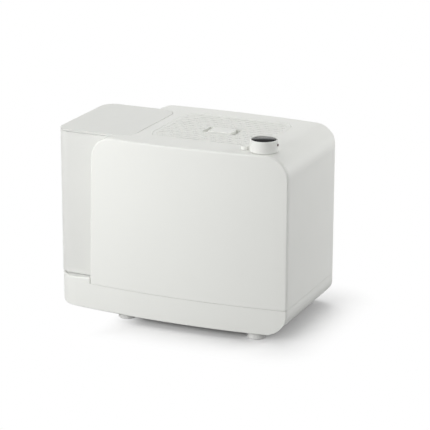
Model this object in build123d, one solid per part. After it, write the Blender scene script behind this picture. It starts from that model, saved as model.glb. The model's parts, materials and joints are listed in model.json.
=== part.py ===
"""Evaporative cool mist humidifier with a side tank, in millimetres.

+Z is up, the front faces -Y, the water tank stands at the -X end. The origin lies on the
table, under the middle of the overall box.
"""
import os
from math import cos, pi, sin, sqrt

from build123d import *

# Overall shape
WIDTH = 383.0
DEPTH = 228.0
BOW_R = 1250.0
FOOT_H = 11.0
BASE_H = 40.5
HOUSING_H = 234.5
CORNER_R = 35.0
REAR_EDGE_R = 10.0
FRONT_EDGE_R = 3.0
WALL = 2.8
SEAM_GAP = 0.4
EDGE_CLEAR = 0.6
SIDE_EASE = 0.02

# Front panel
PANEL_T = 4.0
PANEL_GAP = 0.6
PANEL_TAB_L = 8.0
PANEL_TAB_W = 14.0
PANEL_TAB_T = 2.0

# Base
BASE_WALL = 3.0
BASE_FLOOR = 3.0
BASE_END_R = 43.0
BASE_LEFT_R = 17.0
BASE_DRAFT = 4.5
BASE_EDGE_R = 1.2
BASE_RIM_R = 2.0
BASE_RIM_RISE = 4.0
BASE_RIM_FROM_LEFT = 24.0
LIP_T = 2.0
LIP_CLEAR = 0.6
LIP_ABOVE = 5.5
LIP_BELOW = 5.5
GROOVE_DEPTH = 1.0
FOOT_R = 13.7
FOOT_ROUND = 1.5
FOOT_STEM_R = 4.0
FOOT_STEM_H = 2.0
FOOT_FROM_RIGHT = 52.0
FOOT_FROM_LEFT = 117.0
FOOT_SPREAD_Y = 87.0
END_FOOT_FROM_LEFT = 41.0
END_FOOT_SPREAD_Y = 42.0

# Tank seat
SEAT_STEP = 5.5
SEAT_T = 3.0
SEAT_CLEAR = 0.4
SEAT_LEDGE_W = 5.0
SEAT_LEDGE_H = 4.0
SEAT_POST_R = 4.0
SEAT_POST_INSET = 20.0

# Tank, lid and cap
TANK_W = 124.5
TANK_D = 171.0
TANK_FORWARD = 3.0
TANK_END_R = 20.0
TANK_INNER_R = 27.0
TANK_WALL = 2.5
TANK_FLOOR = 3.0
TANK_EDGE_R = 2.0
TANK_STAND = 0.4
BAY_CLEAR = 0.6
BAY_RIM = 0.8
WING_OVERLAP = 61.3
WING_SLANT = 6.0
LID_T = 3.2
LID_EDGE_R = 0.6
LID_GAP = 0.4
LID_PLUG_T = 2.0
LID_PLUG_H = 10.0
LID_PLUG_CLEAR = 1.2
GASKET_H = 3.0
GASKET_DROP = 4.0
GASKET_SQUEEZE_GAP = 0.3
VALVE_FROM_TANK_RIGHT = 42.0
NECK_R = 21.0
NECK_WALL = 3.0
NECK_H = 12.0
CAP_WALL = 2.6
CAP_CLEAR = 0.4
CAP_FLOOR = 3.0
CAP_SEAL_T = 1.6
CAP_WELL_CLEAR = 5.0
CAGE_R = 17.0
CAGE_WALL = 2.0
CAGE_H = 30.0
CAGE_TOP_T = 2.0
CAGE_WINDOW_W = 14.0
PORT_R = 8.0
VALVE_LIFT = 5.0
VALVE_DISC_R = 12.0
VALVE_DISC_T = 2.5
VALVE_STEM_R = 3.5
VALVE_GUIDE_R = 2.5
VALVE_GUIDE_CLEAR = 0.1
VALVE_SEAL_T = 1.5
VALVE_SEAL_W = 3.0
VALVE_STEM_BELOW_CAP = 6.0
VALVE_POST_R = 3.0
VALVE_POST_GAP = 0.3
VALVE_SPRING_R = 5.5
VALVE_SPRING_WIRE = 1.0

# Outlet grille and its well
WELL_FROM_TANK = 18.5
WELL_FROM_RIGHT = 60.0
WELL_FROM_FRONT = 42.0
WELL_FROM_BACK = 30.0
WELL_R = 28.0
WELL_WALL = 1.6
WELL_LEDGE_W = 3.0
WELL_LEDGE_T = 3.0
WELL_RIM = 0.7
GRILLE_SINK = 0.5
GRILLE_T = 4.0
GRILLE_CLEAR = 0.4
GRILLE_SEAT_GAP = 0.3
GRILLE_BORDER = 5.5
GRILLE_RIB_H = 4.0
GRILLE_RIB_W = 3.0
SLAT_PITCH = 10.2
SLOT_W = 2.8
LOCK_ASIDE = 1.5
LOCK_FORWARD = 2.5
LOCK_W = 36.0
LOCK_D = 27.0
LOCK_PROUD = 0.8
LOCK_TRAVEL = 6.0
LOCK_CLEAR = 0.4
LOCK_NECK_W = 12.0
LOCK_NECK_D = 6.0
LOCK_FOOT_T = 2.0
LOCK_EDGE_R = 0.9
RECESS_LEFT = 8.0
RECESS_FRONT = 4.5
RECESS_SPARE = 4.0
RECESS_DEPTH = 7.0
RECESS_WALL = 2.0

# Fan
FAN_SPACE = 78.0
DECK_T = 3.0
DECK_BOSS_R = 4.5
DECK_BOSS_INSET = 14.0
SHROUD_FROM_WELL_SIDE = 14.5
SHROUD_FROM_WELL_END = 2.5
SHROUD_WALL = 3.5
SHROUD_H = 50.0
SHROUD_FLANGE_W = 8.0
SHROUD_FLANGE_T = 3.0
SHROUD_SCREW_COUNT = 4
STRUT_W = 7.0
STRUT_T = 4.0
HUB_PLATE_R = 26.0
MOTOR_R = 22.0
MOTOR_H = 22.0
MOTOR_SCREW_COUNT = 3
FAN_SHAFT_R = 2.5
SHAFT_CLEAR = 0.05
SHAFT_END_GAP = 2.0
IMPELLER_TIP_GAP = 2.5
IMPELLER_HUB_R = 25.0
IMPELLER_H = 16.0
IMPELLER_GAP = 3.0
BLADE_COUNT = 7
BLADE_CHORD = 36.0
BLADE_T = 2.2
BLADE_PITCH = 24.0

# Intake, filters
INTAKE_W = 170.0
INTAKE_ABOVE_SEAM = 26.5
INTAKE_BELOW_DECK = 11.0
INTAKE_R = 12.0
REAR_GRILLE_T = 2.4
REAR_GRILLE_CLEAR = 0.4
REAR_FLANGE_W = 4.0
REAR_FLANGE_T = 1.8
REAR_SLOT_W = 3.0
REAR_SLOT_PITCH = 7.0
REAR_BORDER = 8.0
AIR_FILTER_T = 5.0
AIR_FILTER_GAP = 0.3
FRAME_W = 170.0
FRAME_DEPTH = 38.0
FRAME_T = 2.5
FRAME_FROM_BACK = 32.0
FRAME_BELOW_DECK = 7.0
FRAME_STAND = 0.3
WICK_CLEAR = 0.4
WICK_FOLDS = 14
WICK_T = 6.0

# Dial, display and button
DIAL_FROM_RIGHT = 46.7
DIAL_FROM_FRONT = 27.4
DIAL_R = 21.0
DIAL_H = 17.5
DIAL_STAND = 0.5
DIAL_WALL = 2.0
DIAL_EDGE_R = 0.8
DIAL_WEB_T = 4.0
DIAL_CLEAR = 0.4
DIAL_NECK_R = 16.5
DIAL_MARK_R = 1.9
DIAL_MARK_DEPTH = 1.7
DIAL_MARK_PROUD = 0.9
DIAL_MARK_DROP = 7.5
DIAL_MARK_ANGLE = 3.0
BUSH_R = 19.0
BUSH_PROUD = 0.1
BUSH_CLEAR = 0.08
BUSH_FIT = 0.1
DIAL_BOSS_R = 21.5
DIAL_BOSS_H = 9.0
POST_R = 14.5
POST_WALL = 3.0
LENS_T = 2.2
LENS_RISE = 0.8
LENS_SINK = 0.8
LENS_SEAT_T = 2.5
MODULE_T = 3.0
MODULE_FIT = 0.2
WHEEL_ABOVE_BOARD = 6.4
WHEEL_R = 20.5
WHEEL_T = 2.0
WHEEL_SLOTS = 24
WHEEL_SLOT_W = 1.6
WHEEL_SLOT_L = 2.4
SENSOR_W = 7.0
SENSOR_L = 10.0
SENSOR_GAP = 0.7
SENSOR_OVERLAP = 3.0
SENSOR_TOP = 2.4
BUTTON_FROM_DIAL = 28.8
BUTTON_FROM_WELL = 10.3
BUTTON_R = 5.6
BUTTON_CLEAR = 0.9
BUTTON_PROUD = 5.5
BUTTON_DISH = 0.7
BUTTON_DISH_RIM = 0.9
BUTTON_EDGE_R = 0.5
BUTTON_SKIRT_R = 6.9
BUTTON_SKIRT_T = 2.0
BUTTON_SKIRT_GAP = 0.3
BUTTON_STEM_R = 2.5
BUTTON_TRAVEL = 1.2
SWITCH_W = 6.2
SWITCH_H = 4.0
SWITCH_GAP = 0.2

# Boards, inlet, sensors and screws
BOARD_T = 1.6
BOARD_BELOW_TOP = 26.0
BOARD_W = 80.0
BOARD_D = 42.0
BOARD_RIGHT_OF_DIAL = 33.0
BOARD_FRONT_OF_DIAL = 16.5
BOARD_BOSS_R = 3.5
BOARD_BOSS_INSET = 5.0
POWER_BOARD_W = 46.0
POWER_BOARD_D = 64.0
POWER_BOARD_FROM_RIGHT = 12.0
POWER_BOARD_Y = 40.0
POWER_PART_H = 22.0
STANDOFF_R = 3.2
STANDOFF_H = 5.0
STANDOFF_INSET = 5.0
INLET_FROM_RIGHT = 32.0
INLET_ABOVE_DECK = 24.0
INLET_W = 24.0
INLET_H = 16.0
INLET_L = 20.0
INLET_R = 7.0
INLET_FIT = 0.2
INLET_FLANGE = 3.0
INLET_FLANGE_T = 2.0
INLET_POCKET_W = 16.0
INLET_POCKET_H = 8.0
INLET_POCKET_L = 12.0
INLET_PIN_R = 1.2
INLET_PIN_SPAN = 7.0
SENSOR_BOARD_W = 18.0
SENSOR_BOARD_H = 24.0
SENSOR_BOARD_T = 4.0
SENSOR_BOARD_GAP = 0.2
PROBE_R = 4.0
PROBE_HEAD_R = 7.0
PROBE_HEAD_H = 3.0
FLOAT_R = 18.0
FLOAT_H = 16.0
FLOAT_TRAVEL = 14.0
FLOAT_FROM_RIGHT = 58.0
FLOAT_FROM_FRONT = 60.0
FLOAT_REST_GAP = 0.3
GUIDE_R = 3.0
GUIDE_CLEAR = 0.3
GUIDE_CAP_R = 6.0
GUIDE_CAP_T = 2.0
MAGNET_R = 10.0
MAGNET_T = 3.0
SCREW_R = 1.4
SCREW_HEAD_R = 2.8
SCREW_HEAD_T = 1.8
SCREW_L = 9.0
SCREW_HOLE_CLEAR = 0.1


def bow_y(x, inset=0.0):
    """Distance from the middle plane to the bowed front or back face, moved in by inset."""
    return sqrt((BOW_R - inset) ** 2 - x**2) - (BOW_R - DEPTH / 2)


# Heights and places that follow from the sizes above
LEFT = -WIDTH / 2
RIGHT = WIDTH / 2
BASE_Z = FOOT_H
BASIN_Z = BASE_Z + BASE_FLOOR
SEAM_Z = BASE_Z + BASE_H
SEAT_Z = SEAM_Z + SEAT_STEP
BASIN_TOP = SEAT_Z + BASE_RIM_RISE + BASE_WALL
HOUSING_Z = SEAM_Z + SEAM_GAP
TOP_Z = SEAM_Z + HOUSING_H
UNDER_TOP = TOP_Z - WALL
TANK_RIGHT = LEFT + TANK_W
TANK_Y0 = -TANK_D / 2 - TANK_FORWARD
TANK_Y1 = TANK_D / 2 - TANK_FORWARD
TANK_Z = SEAT_Z + TANK_STAND
TANK_TOP = TOP_Z - LID_T - LID_GAP
HOUSING_X0 = TANK_RIGHT - WING_OVERLAP
BAY_X = TANK_RIGHT + BAY_CLEAR
FRONT_OF_SHELL = PANEL_T + PANEL_GAP
DECK_TOP = TOP_Z - FAN_SPACE
DECK_Z = DECK_TOP - DECK_T

WELL_X0 = TANK_RIGHT + WELL_FROM_TANK
WELL_X1 = RIGHT - WELL_FROM_RIGHT
WELL_Y0 = -DEPTH / 2 + WELL_FROM_FRONT
WELL_Y1 = DEPTH / 2 - WELL_FROM_BACK
FAN_X = (WELL_X0 + WELL_X1) / 2
FAN_Y = (WELL_Y0 + WELL_Y1) / 2
SHROUD_R = min(WELL_X1 - FAN_X - SHROUD_FROM_WELL_SIDE, WELL_Y1 - FAN_Y - SHROUD_FROM_WELL_END)
GRILLE_TOP = TOP_Z - GRILLE_SINK
GRILLE_Z = GRILLE_TOP - GRILLE_T
LEDGE_TOP = GRILLE_Z - GRILLE_SEAT_GAP
LEDGE_Z = LEDGE_TOP - WELL_LEDGE_T

DIAL_X = RIGHT - DIAL_FROM_RIGHT
DIAL_Y = -bow_y(DIAL_X) + DIAL_FROM_FRONT
DIAL_Z = TOP_Z + DIAL_STAND
DIAL_TOP = DIAL_Z + DIAL_H
BUTTON_X = DIAL_X - BUTTON_FROM_DIAL
BUTTON_Y = WELL_Y0 - BUTTON_FROM_WELL
BOARD_TOP = TOP_Z - BOARD_BELOW_TOP + BOARD_T
BOARD_Z = BOARD_TOP - BOARD_T
WHEEL_Z = BOARD_TOP + WHEEL_ABOVE_BOARD
BOARD_X1 = DIAL_X + BOARD_RIGHT_OF_DIAL
BOARD_X0 = BOARD_X1 - BOARD_W
BOARD_Y0 = DIAL_Y - BOARD_FRONT_OF_DIAL
BOARD_Y1 = BOARD_Y0 + BOARD_D

VALVE_X = TANK_RIGHT - VALVE_FROM_TANK_RIGHT
CAP_R = NECK_R + CAP_CLEAR + CAP_WALL
CAP_TOP = TANK_Z - TANK_STAND
CAP_FLOOR_TOP = TANK_Z - NECK_H - CAP_SEAL_T
CAP_Z = CAP_FLOOR_TOP - CAP_FLOOR
DISC_Z = CAP_FLOOR_TOP + VALVE_SEAL_T + VALVE_LIFT
STEM_Z = CAP_Z - VALVE_STEM_BELOW_CAP + VALVE_LIFT
CAGE_TOP = CAP_FLOOR_TOP + CAGE_H

INTAKE_Z1 = DECK_Z - INTAKE_BELOW_DECK
INTAKE_Z0 = SEAM_Z + INTAKE_ABOVE_SEAM
INTAKE_H = INTAKE_Z1 - INTAKE_Z0
FRAME_Y1 = DEPTH / 2 - FRAME_FROM_BACK
FRAME_Y0 = FRAME_Y1 - FRAME_DEPTH
FRAME_Z0 = BASIN_Z + FRAME_STAND
FRAME_Z1 = DECK_Z - FRAME_BELOW_DECK
FLOAT_X = RIGHT - FLOAT_FROM_RIGHT
FLOAT_Y = -DEPTH / 2 + FLOAT_FROM_FRONT
FLOAT_Z = BASIN_Z + FLOAT_REST_GAP
GUIDE_TOP = FLOAT_Z + FLOAT_H + FLOAT_TRAVEL + FLOAT_REST_GAP


# Shape helpers
TOUCH = 0.01


def bow_arc(x0, x1, inset, side):
    """Arc of the bowed face from x0 to x1; side is -1 at the front and 1 at the back."""
    ends = [(x, side * bow_y(x, inset)) for x in (x0, (x0 + x1) / 2, x1)]
    return ThreePointArc(*ends)


def plan(x0, x1, front_inset=0.0, back_inset=0.0, left_r=0.0, rear_r=0.0, front_r=0.0):
    """Plan outline between two x values with the bowed front and back.

    The last radius rounds the front corner at the right.
    """
    front = bow_arc(x0, x1, front_inset, -1)
    back = bow_arc(x1, x0, back_inset, 1)
    face = make_face([front, Line(front @ 1, back @ 0), back, Line(back @ 1, front @ 0)])
    if left_r:
        face = fillet([v for v in face.vertices() if abs(v.X - x0) < TOUCH], left_r)
    if rear_r:
        ends = (x1,) if left_r else (x0, x1)
        rear = [v for v in face.vertices() if v.Y > 0 and min(abs(v.X - x) for x in ends) < TOUCH]
        face = fillet(rear, rear_r)
    if front_r:
        face = fillet([v for v in face.vertices() if v.Y < 0 and abs(v.X - x1) < TOUCH], front_r)
    return face


def bow_strip(x0, x1, inset0, inset1, side):
    """Plan outline of a bowed wall between two insets."""
    outer = bow_arc(x0, x1, inset0, side)
    inner = bow_arc(x1, x0, inset1, side)
    return make_face([outer, Line(outer @ 1, inner @ 0), inner, Line(inner @ 1, outer @ 0)])


def prism(face, z0, z1):
    return Pos(0, 0, z0) * extrude(face, z1 - z0, dir=(0, 0, 1))


def through(face):
    """Side outline, drawn in X and Z, extruded right through the depth."""
    return extrude(Plane.XZ * face, DEPTH, both=True)


def side_outline(inset, z0, top_r):
    """Outline of the housing from the front: slanted left side, two rounded top corners.

    It stays a hair off the plan's sides, so that the two never share a plane.
    """
    x0 = HOUSING_X0 + inset + SIDE_EASE
    x1 = RIGHT - inset + SIDE_EASE
    z1 = TOP_Z - inset
    slope = WING_SLANT / (TOP_Z - HOUSING_Z)
    foot = x0 + (z0 - HOUSING_Z) * slope
    head = x0 + (z1 - HOUSING_Z) * slope
    face = Polygon((foot, z0), (x1, z0), (x1, z1), (head, z1), align=None)
    return fillet([v for v in face.vertices() if v.Y > (z0 + z1) / 2], top_r)


def base_outline(inset, floor, top_right, top_left):
    """Outline of the base from the front: drafted left end, rounded bottom corners."""
    x0 = LEFT + inset
    x1 = RIGHT - inset + SIDE_EASE
    z0 = BASE_Z + floor
    step_x = HOUSING_X0 - SEAM_GAP
    face = Polygon(
        (x0 + BASE_DRAFT, z0), (x1, z0), (x1, top_right), (step_x, top_right),
        (step_x, top_left), (x0, top_left), align=None,
    )
    low = [v for v in face.vertices() if abs(v.Y - z0) < TOUCH]
    face = fillet([v for v in low if v.X > 0], CORNER_R - inset)
    low = [v for v in face.vertices() if abs(v.Y - z0) < TOUCH and v.X < 0]
    return fillet(low, BASE_LEFT_R - inset)


def rounded(x0, x1, y0, y1, r):
    """Rounded rectangle between four coordinates."""
    return Pos((x0 + x1) / 2, (y0 + y1) / 2) * RectangleRounded(x1 - x0, y1 - y0, r)


def well_plan(grow):
    """Outline of the outlet well, grown outwards."""
    return rounded(WELL_X0 - grow, WELL_X1 + grow, WELL_Y0 - grow, WELL_Y1 + grow, WELL_R + grow)


def tank_plan(grow):
    """Outline of the tank, grown outwards."""
    x0 = LEFT - grow
    x1 = TANK_RIGHT + grow
    y0 = TANK_Y0 - grow
    y1 = TANK_Y1 + grow
    face = Polygon((x0, y0), (x1, y0), (x1, y1), (x0, y1), align=None)
    face = fillet([v for v in face.vertices() if v.X > VALVE_X], TANK_INNER_R + grow)
    return fillet([v for v in face.vertices() if abs(v.X - x0) < TOUCH], TANK_END_R + grow)


def box(x0, x1, y0, y1, z0, z1):
    centre = Pos((x0 + x1) / 2, (y0 + y1) / 2, (z0 + z1) / 2)
    return centre * Box(x1 - x0, y1 - y0, z1 - z0)


def rod(x, y, z0, z1, r):
    return Pos(x, y, (z0 + z1) / 2) * Cylinder(r, z1 - z0)


def tube(x, y, z0, z1, outer_r, inner_r):
    return rod(x, y, z0, z1, outer_r) - rod(x, y, z0, z1, inner_r)


def flare(lower, upper, z0, z1):
    """Cutter that widens from one plan outline to another, for a bevelled rim."""
    return loft([Pos(0, 0, z0) * lower, Pos(0, 0, z1) * upper])


def screw(x, y, z, up):
    """Pan head screw whose head bears on the plane at z; up is the way its shank points."""
    head = rod(x, y, min(z, z - up * SCREW_HEAD_T), max(z, z - up * SCREW_HEAD_T), SCREW_HEAD_R)
    shank = rod(x, y, min(z, z + up * SCREW_L), max(z, z + up * SCREW_L), SCREW_R)
    return head + shank


def screw_hole(x, y, z0, z1):
    return rod(x, y, z0, z1, SCREW_R + SCREW_HOLE_CLEAR)


def ring_places(r, count):
    """Evenly spaced places on a circle about the fan's axis, half a step off the X axis."""
    angles = [pi * (2 * i + 1) / count for i in range(count)]
    return [(FAN_X + r * cos(a), FAN_Y + r * sin(a)) for a in angles]


# Repeated places
FEET = [(x, y * FOOT_SPREAD_Y) for x in (LEFT + FOOT_FROM_LEFT, RIGHT - FOOT_FROM_RIGHT) for y in (-1, 1)]
FEET += [(LEFT + END_FOOT_FROM_LEFT, y * END_FOOT_SPREAD_Y) for y in (-1, 1)]
SEAT_POSTS = [(TANK_RIGHT - SEAT_POST_INSET, y * (TANK_D / 2 - SEAT_POST_INSET)) for y in (-1, 1)]
DECK_BOSS_X0 = BAY_X + WALL + DECK_BOSS_INSET
DECK_BOSS_X1 = RIGHT - WALL - DECK_BOSS_INSET
DECK_BOSS_FRONT = -bow_y(DECK_BOSS_X1, FRONT_OF_SHELL) + DECK_BOSS_INSET / 2
DECK_BOSS_BACK = bow_y(DECK_BOSS_X1, WALL) - DECK_BOSS_INSET / 2
DECK_BOSSES = [
    (DECK_BOSS_X0, DECK_BOSS_FRONT), (DECK_BOSS_X0, DECK_BOSS_BACK),
    (DECK_BOSS_X1, BOARD_Y1 + DECK_BOSS_INSET), (DECK_BOSS_X1, DECK_BOSS_BACK),
]
BOARD_BOSSES = [
    (BOARD_X0 + BOARD_BOSS_INSET, BOARD_Y0 + BOARD_BOSS_INSET),
    (BOARD_X1 - BOARD_BOSS_INSET, BOARD_Y0 + BOARD_BOSS_INSET),
    (BOARD_X1 - BOARD_BOSS_INSET, BOARD_Y1 - BOARD_BOSS_INSET),
]
SHROUD_SCREW_R = SHROUD_R + SHROUD_WALL + SHROUD_FLANGE_W / 2
SHROUD_SCREWS = ring_places(SHROUD_SCREW_R, SHROUD_SCREW_COUNT)
MOTOR_SCREW_R = MOTOR_R / 2 + FAN_SHAFT_R
MOTOR_SCREWS = ring_places(MOTOR_SCREW_R, MOTOR_SCREW_COUNT)
POWER_X1 = RIGHT - POWER_BOARD_FROM_RIGHT
POWER_X0 = POWER_X1 - POWER_BOARD_W
POWER_Y0 = POWER_BOARD_Y - POWER_BOARD_D / 2
POWER_Y1 = POWER_BOARD_Y + POWER_BOARD_D / 2
STANDOFFS = [
    (x, y)
    for x in (POWER_X0 + STANDOFF_INSET, POWER_X1 - STANDOFF_INSET)
    for y in (POWER_Y0 + STANDOFF_INSET, POWER_Y1 - STANDOFF_INSET)
]


# Base
def base_tray():
    outer_plan = plan(LEFT, RIGHT, left_r=BASE_END_R, rear_r=REAR_EDGE_R, front_r=FRONT_EDGE_R)
    outer = prism(outer_plan, BASE_Z, SEAT_Z)
    outer = fillet(outer.edges().group_by(Axis.Z)[0], BASE_EDGE_R)
    outer = fillet(outer.edges().group_by(Axis.Z)[-1], BASE_RIM_R)
    outer &= through(base_outline(0, -SIDE_EASE, SEAM_Z, BASIN_TOP))
    outer += bay_rim(outer_plan)
    basin_plan = plan(
        LEFT + BASE_WALL, RIGHT - BASE_WALL, BASE_WALL, BASE_WALL,
        BASE_END_R - BASE_WALL, REAR_EDGE_R - BASE_WALL,
    )
    basin = prism(basin_plan, BASE_Z, BASIN_TOP + BASE_WALL)
    basin &= through(base_outline(BASE_WALL, BASE_FLOOR, BASIN_TOP, BASIN_TOP))
    tray = outer - basin
    tray += housing_lip() & outer_block(outer_plan)
    tray += seat_ledge() & outer_block(outer_plan)
    for x, y in SEAT_POSTS:
        tray += rod(x, y, BASE_Z + BASE_FLOOR / 2, SEAT_Z - SEAT_T, SEAT_POST_R)
    tray += rod(VALVE_X, 0, BASE_Z + BASE_FLOOR / 2, STEM_Z - VALVE_POST_GAP, VALVE_POST_R)
    for x, y in FEET:
        tray -= rod(x, y, BASE_Z, BASE_Z + FOOT_STEM_H, FOOT_STEM_R)
    strip = prism(bow_strip(LEFT, RIGHT, PANEL_T, FRONT_OF_SHELL, -1), BASE_Z, SEAM_Z)
    groove = strip - through(base_outline(GROOVE_DEPTH, GROOVE_DEPTH, SEAT_Z, SEAT_Z))
    return tray - groove


def bay_rim(outer_plan):
    """Upper edge of the walls in front of and behind the tank, which rises towards the housing."""
    x0 = LEFT + BASE_RIM_FROM_LEFT
    x1 = HOUSING_X0 - SEAM_GAP
    z0 = SEAT_Z - 2 * BASE_RIM_R
    z1 = SEAT_Z + BASE_RIM_RISE
    side = Polygon((x0, z0), (x1, z0), (x1, z1), (x0, SEAT_Z), align=None)
    block = prism(outer_plan, z0, BASIN_TOP) & through(side)
    slope = block.faces().sort_by(Axis.Z)[-1]
    return fillet([e for e in slope.edges() if abs(e.tangent_at(0.5).X) > 0.5], BASE_RIM_R)


def outer_block(face):
    """The base's outline with nothing cut out, to keep added lips inside it."""
    top = SEAT_Z + LIP_ABOVE
    return prism(face, BASE_Z, top) & through(base_outline(0, 0, top, top))


def housing_lip():
    """Upstand inside the housing's lower edge that locates it on the base."""
    x0 = HOUSING_X0 + WALL + LIP_CLEAR
    inset = WALL + LIP_CLEAR
    front = FRONT_OF_SHELL + LIP_CLEAR
    inner_r = REAR_EDGE_R - inset
    outer = plan(x0, RIGHT - inset, front, inset, rear_r=inner_r)
    inner = plan(x0 - LIP_T, RIGHT - inset - LIP_T, front + LIP_T, inset + LIP_T, rear_r=inner_r - LIP_T)
    lip = prism(outer - inner, SEAM_Z - LIP_BELOW, SEAM_Z + LIP_ABOVE)
    half = BASE_WALL / 2
    foot_outer = plan(x0, RIGHT - half, half, half, rear_r=REAR_EDGE_R - half)
    return lip + prism(foot_outer - inner, SEAM_Z - LIP_BELOW, SEAM_Z - LIP_BELOW / 2)


def seat_ledge():
    """Ledge round the left end that carries the tank seat."""
    x1 = HOUSING_X0 - SEAM_GAP - SEAT_LEDGE_W
    grown = BASE_WALL / 2
    deep = BASE_WALL + SEAT_LEDGE_W
    outer = plan(LEFT + grown, x1, grown, grown, BASE_END_R - grown)
    inner = plan(LEFT + deep, x1 + grown, deep, deep, BASE_END_R - deep)
    top = SEAT_Z - SEAT_T
    return prism(outer - inner, top - SEAT_LEDGE_H, top)


def feet():
    solids = []
    for x, y in FEET:
        pad = rod(x, y, 0, FOOT_H, FOOT_R)
        pad = fillet(pad.edges().group_by(Axis.Z)[0], FOOT_ROUND)
        solids.append(pad + rod(x, y, FOOT_H, FOOT_H + FOOT_STEM_H, FOOT_STEM_R))
    return solids


def tank_seat():
    inset = BASE_WALL + SEAT_CLEAR
    lean = BASE_DRAFT * (BASIN_TOP - SEAT_Z + SEAT_T) / (BASIN_TOP - BASIN_Z)
    end = plan(LEFT + inset + lean, HOUSING_X0 - SEAM_GAP - SEAT_CLEAR, inset, inset, BASE_END_R - inset)
    tongue = rounded(HOUSING_X0 - 2 * TANK_INNER_R, TANK_RIGHT, TANK_Y0, TANK_Y1, TANK_INNER_R)
    plate = prism(end, SEAT_Z - SEAT_T, SEAT_Z) + prism(tongue, SEAT_Z - SEAT_T, SEAT_Z)
    return plate - rod(VALVE_X, 0, SEAT_Z - SEAT_T, SEAT_Z, CAP_R + CAP_WELL_CLEAR)


def filter_frame():
    x0 = FAN_X - FRAME_W / 2
    x1 = FAN_X + FRAME_W / 2
    inner = box(x0 + FRAME_T, x1 - FRAME_T, FRAME_Y0, FRAME_Y1, FRAME_Z0 + FRAME_T, FRAME_Z1 - FRAME_T)
    return box(x0, x1, FRAME_Y0, FRAME_Y1, FRAME_Z0, FRAME_Z1) - inner


def wick_filter():
    """Pleated wick: one folded sheet that stands between the frame's sides."""
    inset = FRAME_T + WICK_CLEAR
    x0 = FAN_X - FRAME_W / 2 + inset
    pitch = (FRAME_W - 2 * inset) / WICK_FOLDS
    front = FRAME_Y0 + WICK_CLEAR
    back = FRAME_Y1 - WICK_CLEAR - WICK_T
    near = [(x0 + i * pitch, front if i % 2 == 0 else back) for i in range(WICK_FOLDS + 1)]
    far = [(x, y + WICK_T) for x, y in reversed(near)]
    return prism(Polygon(*near, *far, align=None), FRAME_Z0 + inset, FRAME_Z1 - inset)


def float_guide():
    """Pin that the float rises on, with a stop on top."""
    pin = rod(FLOAT_X, FLOAT_Y, BASIN_Z, GUIDE_TOP + GUIDE_CAP_T, GUIDE_R)
    return pin + rod(FLOAT_X, FLOAT_Y, GUIDE_TOP, GUIDE_TOP + GUIDE_CAP_T, GUIDE_CAP_R)


# Float
def float_body():
    body = tube(FLOAT_X, FLOAT_Y, FLOAT_Z, FLOAT_Z + FLOAT_H, FLOAT_R, GUIDE_R + GUIDE_CLEAR)
    return body - float_magnet()


def float_magnet():
    top = FLOAT_Z + FLOAT_H
    return tube(FLOAT_X, FLOAT_Y, top - MAGNET_T, top, MAGNET_R, GUIDE_R + GUIDE_CLEAR)


# Tank
def tank_shell():
    block = prism(tank_plan(0), TANK_Z, TANK_TOP)
    block = fillet(block.edges().group_by(Axis.Z)[0], TANK_EDGE_R)
    shell = block - prism(tank_plan(-TANK_WALL), TANK_Z + TANK_FLOOR, TANK_TOP)
    shell += rod(VALVE_X, 0, TANK_Z - NECK_H, TANK_Z + TANK_FLOOR, NECK_R)
    return shell - rod(VALVE_X, 0, TANK_Z - NECK_H, TANK_Z + TANK_FLOOR, NECK_R - NECK_WALL)


def tank_cap():
    """Screw cap with the valve's cage standing up through the neck."""
    skirt = tube(VALVE_X, 0, CAP_FLOOR_TOP, CAP_TOP, CAP_R, NECK_R + CAP_CLEAR)
    floor = rod(VALVE_X, 0, CAP_Z, CAP_FLOOR_TOP, CAP_R)
    cage = tube(VALVE_X, 0, CAP_FLOOR_TOP, CAGE_TOP, CAGE_R, CAGE_R - CAGE_WALL)
    half = CAGE_WINDOW_W / 2
    z0 = CAP_FLOOR_TOP + CAGE_TOP_T
    z1 = CAGE_TOP - CAGE_TOP_T
    cage -= box(VALVE_X - CAP_R, VALVE_X + CAP_R, -half, half, z0, z1)
    cage -= box(VALVE_X - half, VALVE_X + half, -CAP_R, CAP_R, z0, z1)
    bridge = box(VALVE_X - CAGE_R, VALVE_X + CAGE_R, -half / 2, half / 2, CAGE_TOP - CAGE_TOP_T, CAGE_TOP)
    bridge &= rod(VALVE_X, 0, CAP_Z, CAGE_TOP, CAGE_R)
    cap = skirt + floor + cage + bridge
    cap -= rod(VALVE_X, 0, CAP_Z, CAP_FLOOR_TOP, PORT_R)
    return cap - rod(VALVE_X, 0, CAP_FLOOR_TOP, CAGE_TOP, VALVE_GUIDE_R + VALVE_GUIDE_CLEAR)


def cap_seal():
    return tube(VALVE_X, 0, CAP_FLOOR_TOP, CAP_FLOOR_TOP + CAP_SEAL_T, NECK_R, NECK_R - NECK_WALL)


def tank_lid():
    plate = prism(tank_plan(0), TANK_TOP + LID_GAP, TOP_Z)
    plate = fillet(plate.edges().group_by(Axis.Z)[-1], LID_EDGE_R)
    grow = -TANK_WALL - LID_PLUG_CLEAR
    ring = tank_plan(grow) - tank_plan(grow - LID_PLUG_T)
    plug_z = TANK_TOP + LID_GAP - LID_PLUG_H
    return plate + prism(ring, plug_z, TANK_TOP + LID_GAP)


def lid_gasket():
    outer = tank_plan(-TANK_WALL - GASKET_SQUEEZE_GAP)
    inner = tank_plan(-TANK_WALL - LID_PLUG_CLEAR)
    top = TANK_TOP - GASKET_DROP
    return prism(outer - inner, top - GASKET_H, top)


def valve_plunger():
    disc = rod(VALVE_X, 0, DISC_Z, DISC_Z + VALVE_DISC_T, VALVE_DISC_R)
    guide = rod(VALVE_X, 0, DISC_Z, CAGE_TOP + VALVE_LIFT, VALVE_GUIDE_R)
    return disc + guide + rod(VALVE_X, 0, STEM_Z, DISC_Z, VALVE_STEM_R)


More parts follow.
